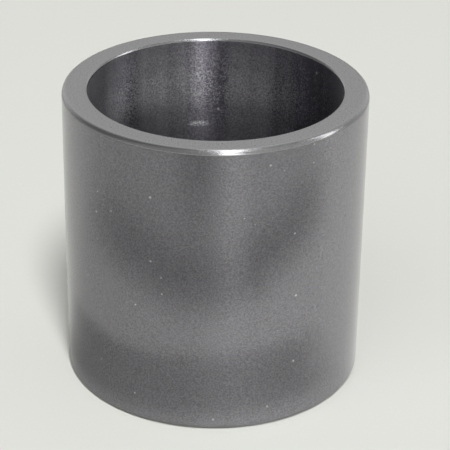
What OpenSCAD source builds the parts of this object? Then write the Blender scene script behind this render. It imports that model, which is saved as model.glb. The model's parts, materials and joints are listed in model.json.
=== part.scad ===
// Plain sleeve bearing: one turned ring that is pressed into a housing and carries a shaft in its bore.
// It stands on an end face, with the origin at the middle of that face and +Z along the bore.

/* [Sleeve] */
// Diameter of the bore that runs on the shaft
bore_d = 25; // [6:0.5:60]
// Thickness of the wall between the bore and the outside
wall = 2.5; // [2:0.25:8]
// Length from end face to end face
sleeve_len = 30; // [8:0.5:80]

/* [Edges] */
// Radius that eases the outside edge at both ends
outer_edge_r = 0.5; // [0.1:0.05:0.9]
// Radius that eases the bore edge at both ends
bore_edge_r = 0.25; // [0.1:0.05:0.9]

/* [Hidden] */
// Sides of a full circle
$fn = 180;
bore_r = bore_d / 2;
outer_r = bore_r + wall;
// How far a cut runs past the face that it starts from
overcut = 1;
dark_steel = [0.38, 0.38, 0.39];

// What an edge radius takes off a corner that lies at the origin, with the metal towards -X and -Y
module edge_waste(r) {
    translate([-r, -r])
        difference() {
            square(r + overcut);
            circle(r);
        }
}

// What both edge radii take off the wall at an end face that lies on the X axis, with the metal below
module end_waste() {
    translate([outer_r, 0])
        edge_waste(outer_edge_r);
    translate([bore_r, 0])
        mirror([1, 0])
            edge_waste(bore_edge_r);
}

// The wall cut along the axis, with all four corners eased
module wall_section() {
    difference() {
        translate([bore_r, 0])
            square([wall, sleeve_len]);
        translate([0, sleeve_len])
            end_waste();
        mirror([0, 1])
            end_waste();
    }
}

module sleeve() {
    color(dark_steel)
        rotate_extrude()
            wall_section();
}

sleeve();
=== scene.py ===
import json
import math

import bmesh
import bpy
from mathutils import Matrix, Vector


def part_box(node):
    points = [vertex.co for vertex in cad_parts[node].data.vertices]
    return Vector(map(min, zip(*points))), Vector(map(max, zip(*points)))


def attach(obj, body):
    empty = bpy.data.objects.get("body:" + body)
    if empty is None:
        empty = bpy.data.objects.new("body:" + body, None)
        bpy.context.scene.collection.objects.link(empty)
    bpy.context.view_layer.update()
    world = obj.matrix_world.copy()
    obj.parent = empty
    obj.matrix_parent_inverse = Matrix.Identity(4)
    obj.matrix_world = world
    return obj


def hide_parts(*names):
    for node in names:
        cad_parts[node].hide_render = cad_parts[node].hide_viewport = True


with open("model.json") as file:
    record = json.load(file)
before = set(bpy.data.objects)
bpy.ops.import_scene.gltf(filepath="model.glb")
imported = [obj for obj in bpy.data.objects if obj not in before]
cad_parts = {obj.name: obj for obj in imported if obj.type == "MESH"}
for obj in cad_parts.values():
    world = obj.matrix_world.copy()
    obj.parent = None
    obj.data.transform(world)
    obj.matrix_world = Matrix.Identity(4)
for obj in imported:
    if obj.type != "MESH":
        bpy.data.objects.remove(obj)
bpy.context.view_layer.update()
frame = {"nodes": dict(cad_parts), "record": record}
scene = bpy.context.scene
print("frame loaded:", sorted(frame["nodes"]))

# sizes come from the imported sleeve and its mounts
mm = 0.001
low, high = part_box("sleeve")
mounts = {mount["name"]: mount["dims"] for mount in frame["record"]["mounts"]}
outerR = (high.x - low.x) / 2
outerD = 2 * outerR
sleeveLen = high.z - low.z
boreR = mounts["bore"]["r_mm"] * mm
boreEdgeR = (sleeveLen - mounts["bore"]["length_mm"] * mm) / 2
outerEdgeR = (sleeveLen - mounts["outside"]["length_mm"] * mm) / 2


# node helpers

def addNode(tree, kind, **settings):
    node = tree.nodes.new(kind)
    for name, value in settings.items():
        setattr(node, name, value)
    return node


def feed(tree, socket, value):
    # a socket takes another socket or a plain value
    if isinstance(value, bpy.types.NodeSocket):
        tree.links.new(value, socket)
    else:
        socket.default_value = value


def doMath(tree, operation, first, second=0.0, clamp=False):
    node = addNode(tree, "ShaderNodeMath", operation=operation, use_clamp=clamp)
    feed(tree, node.inputs[0], first)
    feed(tree, node.inputs[1], second)
    return node.outputs[0]


def doVector(tree, operation, first, second=None):
    node = addNode(tree, "ShaderNodeVectorMath", operation=operation)
    feed(tree, node.inputs[0], first)
    if second is not None:
        feed(tree, node.inputs[1], second)
    givesNumber = operation in ("LENGTH", "DISTANCE", "DOT_PRODUCT")
    return node.outputs["Value" if givesNumber else "Vector"]


def splitVector(tree, vector):
    node = addNode(tree, "ShaderNodeSeparateXYZ")
    feed(tree, node.inputs[0], vector)
    return node.outputs


def mapVector(tree, vector, scale, location=(0, 0, 0)):
    node = addNode(tree, "ShaderNodeMapping")
    node.inputs["Scale"].default_value = scale
    node.inputs["Location"].default_value = location
    feed(tree, node.inputs["Vector"], vector)
    return node.outputs[0]


def objectPlace(tree, unit):
    # the piece's own coordinates, counted in a unit of length
    coords = addNode(tree, "ShaderNodeTexCoord")
    return mapVector(tree, coords.outputs["Object"], (1 / unit,) * 3)


def rescale(tree, value, fromLow, fromHigh, toLow, toHigh):
    node = addNode(tree, "ShaderNodeMapRange", interpolation_type="SMOOTHSTEP")
    for index, item in enumerate((value, fromLow, fromHigh, toLow, toHigh)):
        feed(tree, node.inputs[index], item)
    return node.outputs["Result"]


def mixColor(tree, factor, first, second):
    node = addNode(tree, "ShaderNodeMix", data_type="RGBA")
    feed(tree, node.inputs["Factor"], factor)
    feed(tree, node.inputs["A"], first)
    feed(tree, node.inputs["B"], second)
    return node.outputs["Result"]


def addNoise(tree, vector, scale, detail, roughness=0.5):
    node = addNode(tree, "ShaderNodeTexNoise")
    node.inputs["Detail"].default_value = detail
    node.inputs["Roughness"].default_value = roughness
    feed(tree, node.inputs["Vector"], vector)
    feed(tree, node.inputs["Scale"], scale)
    return node.outputs["Fac"]


def addRamp(tree, stops, first, last, value):
    # a ramp over a span of the value, with each stop's number as its grey
    node = addNode(tree, "ShaderNodeValToRGB")
    node.color_ramp.interpolation = "EASE"
    while len(node.color_ramp.elements) < len(stops):
        node.color_ramp.elements.new(0.5)
    for element, (place, grey) in zip(node.color_ramp.elements, stops):
        element.position = (place - first) / (last - first)
        element.color = (grey, grey, grey, 1)
    past = doMath(tree, "SUBTRACT", value, first)
    feed(tree, node.inputs[0], doMath(tree, "DIVIDE", past, last - first))
    return node.outputs["Color"]


def turnRamp(tree, stops, degrees):
    return addRamp(tree, stops, -180, 180, degrees)


def newGroup(name, inputs, outputs):
    group = bpy.data.node_groups.new(name, "ShaderNodeTree")
    for label, kind in inputs:
        group.interface.new_socket(label, in_out="INPUT", socket_type=kind)
    for label, kind in outputs:
        group.interface.new_socket(label, in_out="OUTPUT", socket_type=kind)
    return group, addNode(group, "NodeGroupInput").outputs, addNode(group, "NodeGroupOutput").inputs


def placeGroup(tree, group, **inputs):
    node = addNode(tree, "ShaderNodeGroup", node_tree=group)
    for name, value in inputs.items():
        feed(tree, node.inputs[name], value)
    return node.outputs


# effects for the finishes, all in millimetres of the piece

noiseSpan = (0.25, 0.75)  # nearly all of a noise lies between these heights


def makeGrainGroup():
    group, given, result = newGroup(
        "fineGrain",
        [("Place", "NodeSocketVector"), ("PerMm", "NodeSocketFloat")],
        [("Height", "NodeSocketFloat"), ("Glint", "NodeSocketFloat")],
    )
    glintSpan = (0.6, 0.75)  # only the highest grains sparkle
    height = addNoise(group, given["Place"], given["PerMm"], detail=3.0, roughness=0.6)
    feed(group, result["Height"], height)
    feed(group, result["Glint"], rescale(group, height, *glintSpan, 0.0, 1.0))
    return group


def makeLayGroup():
    group, given, result = newGroup(
        "toolLay",
        [("Place", "NodeSocketVector"), ("Across", "NodeSocketFloat"), ("PerMm", "NodeSocketFloat")],
        [("Height", "NodeSocketFloat")],
    )
    apart = splitVector(group, given["Place"])
    along = 0.12  # how fast a line changes on its way round
    joined = addNode(group, "ShaderNodeCombineXYZ")
    feed(group, joined.inputs["X"], doMath(group, "MULTIPLY", apart["X"], along))
    feed(group, joined.inputs["Y"], doMath(group, "MULTIPLY", apart["Y"], along))
    feed(group, joined.inputs["Z"], doMath(group, "MULTIPLY", given["Across"], given["PerMm"]))
    feed(group, result["Height"], addNoise(group, joined.outputs[0], 1.0, detail=2.0))
    return group


def makeDustGroup():
    group, given, result = newGroup(
        "dustSpecks",
        [("Place", "NodeSocketVector"), ("PerMm", "NodeSocketFloat"), ("Share", "NodeSocketFloat")],
        [("Mask", "NodeSocketFloat")],
    )
    smallest, largest = 0.05, 0.14  # a speck's radius, in cells
    cells = addNode(group, "ShaderNodeTexVoronoi")
    feed(group, cells.inputs["Vector"], given["Place"])
    feed(group, cells.inputs["Scale"], given["PerMm"])
    apart = addNode(group, "ShaderNodeSeparateColor")
    feed(group, apart.inputs[0], cells.outputs["Color"])
    chosen = doMath(group, "LESS_THAN", apart.outputs["Red"], given["Share"])
    radius = rescale(group, apart.outputs["Green"], 0.0, 1.0, smallest, largest)
    outward = doMath(group, "DIVIDE", cells.outputs["Distance"], radius)
    inside = doMath(group, "SUBTRACT", 1.0, outward, clamp=True)
    feed(group, result["Mask"], doMath(group, "MULTIPLY", chosen, inside))
    return group


def makeStreakGroup():
    # streaks along the axis, from -1 to 1
    group, given, result = newGroup(
        "axialStreaks",
        [("Place", "NodeSocketVector")],
        [("Tone", "NodeSocketFloat")],
    )
    perMm = (0.45, 0.45, 0.02)  # quick changes across the axis, slow ones along it
    noise = addNoise(group, mapVector(group, given["Place"], perMm), 1.0, detail=3.0)
    feed(group, result["Tone"], rescale(group, noise, *noiseSpan, -1.0, 1.0))
    return group


grainGroup = makeGrainGroup()
layGroup = makeLayGroup()
dustGroup = makeDustGroup()
streakGroup = makeStreakGroup()
print("effects made")


# finishes of the sleeve

outsideSpec = {
    "dark": (0.180, 0.176, 0.190, 1), "light": (0.318, 0.311, 0.332, 1),
    "mottle": 1.0,  # how far the grain goes from dark to light
    "metallic": 0.71, "smooth": 0.12, "rough": 0.22, "anisotropic": 0.4,
    "layOn": "wall", "layPerMm": 9.0, "layDepth": 0.0004,  # tool marks, with depths in millimetres
    "grainPerMm": 6.0, "grainDepth": 0.0010,
    "dustPerMm": 0.8, "dustShare": 0.4, "dustStrength": 0.6, "dustColor": (0.6, 0.6, 0.58, 1),
}
boreSpec = dict(
    outsideSpec,
    dark=(0.130, 0.124, 0.146, 1), light=(0.966, 0.960, 1.0, 1), mottle=0.53,
    metallic=0.96, smooth=0.30, rough=0.41, anisotropic=0.88,
    layPerMm=8.0, layDepth=0.0015, grainPerMm=6.2, grainDepth=0.0028,
    dustShare=0.25, dustStrength=1.0,
    streaks=0.11, glint=0.15,
    # bands of tone round the bore, partly wear, with painted reflection in the bright bands and painted
    # shade in the dark ones: (degrees right of the back, tone)
    wearSheenAndShade=[(-95, 0.34), (-60, 0.6), (-46, 0.15), (-36, 0.64), (-28, 0.69), (-20, 0.45), (-9, 0.285),
          (-1.5, 0.06), (15, 0.51), (32, 0.225), (50, 0.045), (95, 0.34)],
    # and how much of that shows: (millimetres deep, share); a lower share is darker, near the top and,
    # as painted shade, deeper down
    along=[(0.3, 0.38), (2.4, 0.62), (4.5, 1.0), (5.7, 1.0), (8.6, 0.5), (10.5, 0.34)],
    # a small painted reflection, a bright mark in degrees and millimetres, where core is the part of it
    # that doesn't fade
    paintedReflection={"turn": -8, "depth": 9.5, "wide": 1.6, "tall": 0.45, "core": 0.2, "share": 1.9},
)
faceSpec = dict(
    outsideSpec,
    dark=(0.188, 0.188, 0.195, 1), light=(0.297, 0.297, 0.305, 1),
    metallic=0.9, smooth=0.27, rough=0.31, anisotropic=0.3,
    layOn="face", layPerMm=10.0, layDepth=0.0003, dustShare=0.1,
)
edgeSpec = dict(faceSpec, mottle=0.5, smooth=0.20, rough=0.27, grainDepth=0.0004, dustShare=0.0)


midTone = 0.5  # halfway from a finish's dark to its light


def emptyMaterial(name):
    material = bpy.data.materials.new(name)
    material.use_nodes = True
    tree = material.node_tree
    tree.nodes.clear()
    return material, tree


def wornAndPaintedTone(tree, spec, place, tone, glint):
    # streaks, wear with painted sheen and shade, and painted glints, then how much of them shows at this
    # depth, with painted shade deeper down and a painted reflection
    apart = splitVector(tree, place)
    drawn = placeGroup(tree, streakGroup, Place=place)
    tone = doMath(tree, "ADD", tone, doMath(tree, "MULTIPLY", drawn["Tone"], spec["streaks"]))
    turn = doMath(tree, "DEGREES", doMath(tree, "ARCTAN2", apart["X"], apart["Y"]))
    # painted sheen and shade: bands of tone round the bore, lighter and darker by angle, partly wear
    wearSheenAndShade = doMath(tree, "SUBTRACT", turnRamp(tree, spec["wearSheenAndShade"], turn), midTone)
    sparkle = doMath(tree, "MULTIPLY", glint, spec["glint"])
    tone = doMath(tree, "ADD", doMath(tree, "ADD", tone, wearSheenAndShade), sparkle, clamp=True)
    # painted shade: the tone's share falls deeper in the bore, by the depth ramp
    depth = doMath(tree, "SUBTRACT", sleeveLen / mm, apart["Z"])
    share = addRamp(tree, spec["along"], 0, sleeveLen / mm, depth)
    # a painted reflection: a small bright mark added to the bore's tone
    paintedReflection = spec["paintedReflection"]
    angle = math.radians(paintedReflection["turn"])
    middle = (math.sin(angle) * boreR / mm, math.cos(angle) * boreR / mm, sleeveLen / mm - paintedReflection["depth"])
    squash = (1 / paintedReflection["wide"], 1 / paintedReflection["wide"], 1 / paintedReflection["tall"])
    shift = [-part * size for part, size in zip(middle, squash)]
    away = doVector(tree, "LENGTH", mapVector(tree, place, squash, shift))
    share = doMath(tree, "ADD", share, rescale(tree, away, paintedReflection["core"], 1.0, paintedReflection["share"], 0.0))
    return doMath(tree, "MULTIPLY", tone, share, clamp=True)


def steelFinish(name, spec):
    material, tree = emptyMaterial(name)
    shader = addNode(tree, "ShaderNodeBsdfPrincipled")
    output = addNode(tree, "ShaderNodeOutputMaterial")
    tree.links.new(shader.outputs[0], output.inputs["Surface"])
    place = objectPlace(tree, mm)
    if spec["layOn"] == "wall":
        across = splitVector(tree, place)["Z"]
    else:
        across = doVector(tree, "LENGTH", doVector(tree, "MULTIPLY", place, (1, 1, 0)))
    grain = placeGroup(tree, grainGroup, Place=place, PerMm=spec["grainPerMm"])
    lay = placeGroup(tree, layGroup, Place=place, Across=across, PerMm=spec["layPerMm"])
    half = spec["mottle"] / 2
    tone = rescale(tree, grain["Height"], *noiseSpan, midTone - half, midTone + half)
    if "wearSheenAndShade" in spec:
        tone = wornAndPaintedTone(tree, spec, place, tone, grain["Glint"])
    color = mixColor(tree, tone, spec["dark"], spec["light"])
    metallic = spec["metallic"]
    if spec["dustShare"]:
        dust = placeGroup(tree, dustGroup, Place=place, PerMm=spec["dustPerMm"], Share=spec["dustShare"])
        dusted = doMath(tree, "MULTIPLY", dust["Mask"], spec["dustStrength"])
        color = mixColor(tree, dusted, color, spec["dustColor"])
        bare = doMath(tree, "SUBTRACT", 1.0, dusted, clamp=True)
        metallic = doMath(tree, "MULTIPLY", bare, metallic)
    feed(tree, shader.inputs["Base Color"], color)
    feed(tree, shader.inputs["Metallic"], metallic)
    rough = rescale(tree, grain["Height"], *noiseSpan, spec["smooth"], spec["rough"])
    feed(tree, shader.inputs["Roughness"], rough)
    shader.inputs["Anisotropic"].default_value = spec["anisotropic"]
    shader.inputs["Anisotropic Rotation"].default_value = 0.25  # a quarter turn
    height = doMath(tree, "ADD",
                    doMath(tree, "MULTIPLY", grain["Height"], spec["grainDepth"]),
                    doMath(tree, "MULTIPLY", lay["Height"], spec["layDepth"]))
    bump = addNode(tree, "ShaderNodeBump")
    bump.inputs["Distance"].default_value = mm
    feed(tree, bump.inputs["Height"], height)
    feed(tree, shader.inputs["Normal"], bump.outputs[0])
    return material


finishes = [
    steelFinish("outsideFinish", outsideSpec),
    steelFinish("boreFinish", boreSpec),
    steelFinish("faceFinish", faceSpec),
    steelFinish("edgeFinish", edgeSpec),
]
outsideSlot, boreSlot, faceSlot, edgeSlot = range(4)
print("finishes made")


# the sleeve: its wall's section, with the corners rounded, spun round the axis

sleeveSpec = {
    "aroundSteps": 192,  # faces round the ring
    "edgeSteps": 8,      # faces across each rounded edge
    "wallRows": 24,      # rows of faces along the bore and the outside
    "faceRows": 4,       # rings of faces across each end
}


def vertexOrder(part):
    # a number that sorts edges or faces by their vertices
    mostVerts = 1e6
    places = [vert.index for vert in part.verts]
    return min(places) * mostVerts + max(places)


def makeSleeve(spec):
    bm = bmesh.new()
    boreCorners = [bm.verts.new((boreR, 0, z)) for z in (sleeveLen, 0)]
    outerCorners = [bm.verts.new((outerR, 0, z)) for z in (0, sleeveLen)]
    bm.faces.new(boreCorners + outerCorners)
    # one corner at a time, so that the vertices come in the same order each run
    for corners, radius in ((boreCorners, boreEdgeR), (outerCorners, outerEdgeR)):
        for corner in corners:
            bmesh.ops.bevel(bm, geom=[corner], offset=radius, offset_type="OFFSET", affect="VERTICES",
                            segments=spec["edgeSteps"], profile=0.5, material=-1)
    bmesh.ops.delete(bm, geom=bm.faces[:], context="FACES_ONLY")
    straight = [edge for edge in bm.edges if edge.calc_length() > outerEdgeR + boreEdgeR]
    tall = [edge for edge in straight if edge.calc_length() > sleeveLen / 2]
    flat = [edge for edge in straight if edge not in tall]
    bmesh.ops.subdivide_edges(bm, edges=tall, cuts=spec["wallRows"] - 1)
    bmesh.ops.subdivide_edges(bm, edges=flat, cuts=spec["faceRows"] - 1)
    bmesh.ops.spin(bm, geom=bm.verts[:] + bm.edges[:], cent=(0, 0, 0), axis=(0, 0, 1), dvec=(0, 0, 0),
                   angle=2 * math.pi, steps=spec["aroundSteps"], use_merge=True)
    bmesh.ops.recalc_face_normals(bm, faces=bm.faces[:])
    # the spin gives edges and faces in no fixed order
    bm.verts.index_update()
    bm.edges.sort(key=vertexOrder)
    bm.faces.sort(key=vertexOrder)
    nearly = 1e-4  # a face this close to level or upright counts as such
    for face in bm.faces:
        face.smooth = True
        up = abs(face.normal.z)
        if up > 1 - nearly:
            face.material_index = faceSlot
        elif up > nearly:
            face.material_index = edgeSlot
        elif face.normal.dot(face.calc_center_median()) > 0:
            face.material_index = outsideSlot
        else:
            face.material_index = boreSlot
    mesh = bpy.data.meshes.new("sleeveBearing")
    bm.to_mesh(mesh)
    bm.free()
    for finish in finishes:
        mesh.materials.append(finish)
    piece = bpy.data.objects.new("sleeveBearing", mesh)
    scene.collection.objects.link(piece)
    # wide faces keep their own normals, so that only the rounded edges turn
    weighted = piece.modifiers.new("faceNormals", "WEIGHTED_NORMAL")
    weighted.weight = 100
    shaped = piece.evaluated_get(bpy.context.evaluated_depsgraph_get())
    piece.data = bpy.data.meshes.new_from_object(shaped)
    piece.modifiers.clear()
    return piece


sleeve = makeSleeve(sleeveSpec)
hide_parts("sleeve")
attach(sleeve, "root")
print("sleeve made:", len(sleeve.data.polygons), "faces")


# floor, light and camera

discSides = 64


def makeDisc(name, radius, height, material):
    bm = bmesh.new()
    bmesh.ops.create_circle(bm, cap_ends=True, segments=discSides, radius=radius)
    mesh = bpy.data.meshes.new(name)
    bm.to_mesh(mesh)
    bm.free()
    mesh.materials.append(material)
    disc = bpy.data.objects.new(name, mesh)
    scene.collection.objects.link(disc)
    disc.location.z = low.z + height
    return disc


floorSpec = {"radius": 4.0, "color": (0.735, 0.74, 0.70, 1), "rough": 0.6, "gloss": 0.2}


def makeFloor(spec):
    material = bpy.data.materials.new("paleFloor")
    material.use_nodes = True
    shader = material.node_tree.nodes["Principled BSDF"]
    shader.inputs["Base Color"].default_value = spec["color"]
    shader.inputs["Roughness"].default_value = spec["rough"]
    shader.inputs["Specular IOR Level"].default_value = spec["gloss"]
    floor = makeDisc("studioFloor", spec["radius"], 0, material)


# soft rings that only reflections show, as the shade and shine around a thing on a table
# lengths are in outside diameters, except for the height
# steps are (radius, shade), and round and around are (degrees right of the front, share)
# a ring bends outward on both sides of bendAt, by the slopes in bend
shadeSpec = {
    "rings": [
        {
            "steps": [(0.52, 0.10), (0.66, 0.56), (0.92, 0.62), (0.99, 0.0)],
            "wide": 0.95, "aside": 0.04, "bendAt": 0.0, "bend": (0.0, 0.0),
            "round": [(-115, 0.0), (-70, 1.0), (-20, 1.0), (12, 0.85), (40, 0.97), (80, 0.0)],
        },
        {
            "steps": [(1.12, 0.0), (1.42, 0.90), (1.54, 0.92), (1.86, 0.3), (2.5, 0.38)],
            "wide": 1.15, "aside": 0.1, "bendAt": 0.25, "bend": (0.06, 0.1),
            "round": [(-108, 0.0), (-55, 0.92), (-22, 1.0), (-6, 0.93), (13, 0.62), (30, 0.97),
                      (55, 0.86), (96, 0.0)],
        },
    ],
    "around": [(-165, 1.0), (-120, 0.98), (-85, 0.79), (-40, 0.81), (-15, 0.86), (2, 1.02), (16, 1.1),
               (28, 1.1), (60, 1.1), (90, 1.18), (110, 1.16), (130, 1.1), (165, 1.0)],
    "glow": 0.77,   # the floor's own light, for shares above one
    "reach": 3.0,   # the radius at which the steps end, and half the card's
    "height": 0.1,  # above the floor, in millimetres
    "spotPlace": (-0.48, -2.68, 0), "spotRadius": 1.2, "spotShade": 0.82,  # one more shade out in front
}


def ringShade(tree, ring, reach, place, degrees):
    squeezed = mapVector(tree, place, (1 / ring["wide"], 1, 1), (-ring["aside"], 0, 0))
    radius = doVector(tree, "LENGTH", squeezed)
    sideways = splitVector(tree, place)["X"]
    for side, slope in zip((-1, 1), ring["bend"]):
        beyond = doMath(tree, "SUBTRACT", sideways, ring["bendAt"])
        beyond = doMath(tree, "MAXIMUM", doMath(tree, "MULTIPLY", beyond, side), 0.0)
        radius = doMath(tree, "SUBTRACT", radius, doMath(tree, "MULTIPLY", beyond, slope))
    shade = addRamp(tree, ring["steps"], 0, reach, radius)
    return doMath(tree, "MULTIPLY", shade, turnRamp(tree, ring["round"], degrees))


def makeShade(spec):
    material, tree = emptyMaterial("softShade")
    place = objectPlace(tree, outerD)
    apart = splitVector(tree, place)
    turn = doMath(tree, "ARCTAN2", apart["X"], doMath(tree, "MULTIPLY", apart["Y"], -1.0))
    degrees = doMath(tree, "DEGREES", turn)
    around = turnRamp(tree, spec["around"], degrees)
    away = doVector(tree, "DISTANCE", place, spec["spotPlace"])
    shades = [ringShade(tree, ring, spec["reach"], place, degrees) for ring in spec["rings"]]
    shades.append(rescale(tree, away, 0.0, spec["spotRadius"], spec["spotShade"], 0.0))
    left = 1.0  # the light that the shades leave
    for shade in shades:
        left = doMath(tree, "MULTIPLY", left, doMath(tree, "SUBTRACT", 1.0, shade))
    clear = addNode(tree, "ShaderNodeBsdfTransparent")
    less = doMath(tree, "MINIMUM", around, 1.0)
    feed(tree, clear.inputs["Color"], doMath(tree, "MULTIPLY", left, less))
    glow = addNode(tree, "ShaderNodeEmission")
    more = doMath(tree, "SUBTRACT", around, 1.0, clamp=True)
    more = doMath(tree, "MULTIPLY", more, spec["glow"])
    feed(tree, glow.inputs["Strength"], doMath(tree, "MULTIPLY", left, more))
    both = addNode(tree, "ShaderNodeAddShader")
    tree.links.new(clear.outputs[0], both.inputs[0])
    tree.links.new(glow.outputs[0], both.inputs[1])
    tree.links.new(both.outputs[0], addNode(tree, "ShaderNodeOutputMaterial").inputs["Surface"])
    card = makeDisc("shadeRings", 2 * spec["reach"] * outerD, spec["height"] * mm, material)
    card.visible_camera = False
    card.visible_diffuse = False
    card.visible_shadow = False


# what the world shows: the camera sees a pale backdrop, and metal a room
# a span is where one level goes over into the next, in parts of the way's unit length
worldSpec = {
    "fill": 0.25, "backdrop": 0.9, "color": (1.0, 1.0, 0.98, 1),
    "bright": 55,  # the room's brightest side, in degrees right of the front
    "dim": 0.2, "middle": 0.48, "dimSpan": (-0.85, -0.45),
    "more": 0.34, "moreSpan": (0.45, 0.95),      # added on the brightest side
    "low": 0.3, "lowSpan": (0.0, 0.45),          # added near the floor
    "behind": 1.07, "behindSpan": (0.35, 0.86),  # the side behind the sleeve
    "far": -0.4, "farSpan": (0.88, 0.95),        # added at the middle of that side
}


def makeWorld(spec):
    world = bpy.data.worlds.new("studioWorld")
    scene.world = world
    world.use_nodes = True
    tree = world.node_tree
    background = tree.nodes["Background"]
    background.inputs["Color"].default_value = spec["color"]
    way = addNode(tree, "ShaderNodeTexCoord").outputs["Generated"]
    apart = splitVector(tree, way)
    heading = doVector(tree, "NORMALIZE", doVector(tree, "MULTIPLY", way, (1, 1, 0)))
    bright = math.radians(spec["bright"])
    toward = doVector(tree, "DOT_PRODUCT", heading, (math.sin(bright), -math.cos(bright), 0))
    room = rescale(tree, toward, *spec["dimSpan"], spec["dim"], spec["middle"])
    room = doMath(tree, "ADD", room, rescale(tree, toward, *spec["moreSpan"], 0.0, spec["more"]))
    room = doMath(tree, "ADD", room, rescale(tree, apart["Z"], *spec["lowSpan"], spec["low"], 0.0))
    room = rescale(tree, apart["Y"], *spec["behindSpan"], room, spec["behind"])
    room = doMath(tree, "ADD", room, rescale(tree, apart["Y"], *spec["farSpan"], 0.0, spec["far"]))
    rays = addNode(tree, "ShaderNodeLightPath").outputs
    mirrored = doMath(tree, "MAXIMUM", rays["Is Glossy Ray"], rays["Is Transmission Ray"])
    shown = rescale(tree, mirrored, 0.0, 1.0, spec["fill"], room)
    shown = rescale(tree, rays["Is Camera Ray"], 0.0, 1.0, shown, spec["backdrop"])
    feed(tree, background.inputs["Strength"], shown)


# each lamp's place as seen from the sleeve's middle and its size, in degrees, and its face's radiance
# metal alone shows a gleam, and the other lamps light everything but don't show in metal
lampDistance = 2.0  # metres
lampSpecs = {
    "keyLamp": {
        "turn": 11.0, "rise": 57.0, "width": 10.0, "length": 20.0, "roll": 0.0,
        "radiance": 50.0, "gleam": False,
    },
    "fillSoftbox": {
        "turn": -30.0, "rise": 50.0, "width": 60.0, "length": 60.0, "roll": 0.0,
        "radiance": 0.82, "gleam": False,
    },
    "overheadGleam": {
        "turn": 22.0, "rise": 69.0, "width": 6.0, "length": 116.0, "roll": -17.0,
        "radiance": 11.0, "gleam": True,
    },
    "frontGleam": {
        "turn": 13.0, "rise": 15.0, "width": 12.0, "length": 25.0, "roll": 0.0,
        "radiance": 8.0, "gleam": True,
    },
    "sideGleam": {
        "turn": 101.0, "rise": 34.0, "width": 11.0, "length": 62.0, "roll": -37.0,
        "radiance": 4.2, "gleam": True,
    },
}


def makeLamp(name, spec):
    lamp = bpy.data.lights.new(name, "AREA")
    lamp.shape = "ELLIPSE"
    lamp.size = 2 * lampDistance * math.tan(math.radians(spec["width"] / 2))
    lamp.size_y = 2 * lampDistance * math.tan(math.radians(spec["length"] / 2))
    area = math.pi / 4 * lamp.size * lamp.size_y
    lamp.energy = spec["radiance"] * math.pi * area
    turn = math.radians(spec["turn"])
    rise = math.radians(spec["rise"])
    way = Vector((math.sin(turn) * math.cos(rise), -math.cos(turn) * math.cos(rise), math.sin(rise)))
    item = bpy.data.objects.new(name, lamp)
    scene.collection.objects.link(item)
    aim = way.to_track_quat("Z", "Y").to_matrix().to_4x4()
    item.matrix_world = (Matrix.Translation(way * lampDistance + Vector((0, 0, sleeveLen / 2)))
                         @ aim @ Matrix.Rotation(math.radians(spec["roll"]), 4, "Z"))
    item.visible_glossy = spec["gleam"]
    item.visible_diffuse = not spec["gleam"]


# the camera's place is in outside diameters of the sleeve, from its middle, and its angles in degrees
cameraSpec = {
    "lens": 143.94, "sensor": 36, "nearest": 0.01,
    "elevation": 27.409, "roll": 0.869, "distance": 6.077, "right": 0.0369, "up": -0.0067,
}


def makeCamera(spec):
    camera = bpy.data.objects.new("photoCamera", bpy.data.cameras.new("photoCamera"))
    scene.collection.objects.link(camera)
    camera.data.sensor_width = spec["sensor"]
    camera.data.lens = spec["lens"]
    camera.data.clip_start = spec["nearest"]
    turned = (Matrix.Rotation(math.radians(90 - spec["elevation"]), 4, "X")
              @ Matrix.Rotation(math.radians(spec["roll"]), 4, "Z"))
    place = Matrix.Translation(Vector((spec["right"], spec["up"], spec["distance"])) * outerD)
    camera.matrix_world = Matrix.Translation((0, 0, sleeveLen / 2)) @ turned @ place
    scene.camera = camera


makeFloor(floorSpec)
makeShade(shadeSpec)
makeWorld(worldSpec)
for lampName, lampSpec in lampSpecs.items():
    makeLamp(lampName, lampSpec)
makeCamera(cameraSpec)
scene.view_settings.view_transform = "Standard"
print("floor, light and camera made")
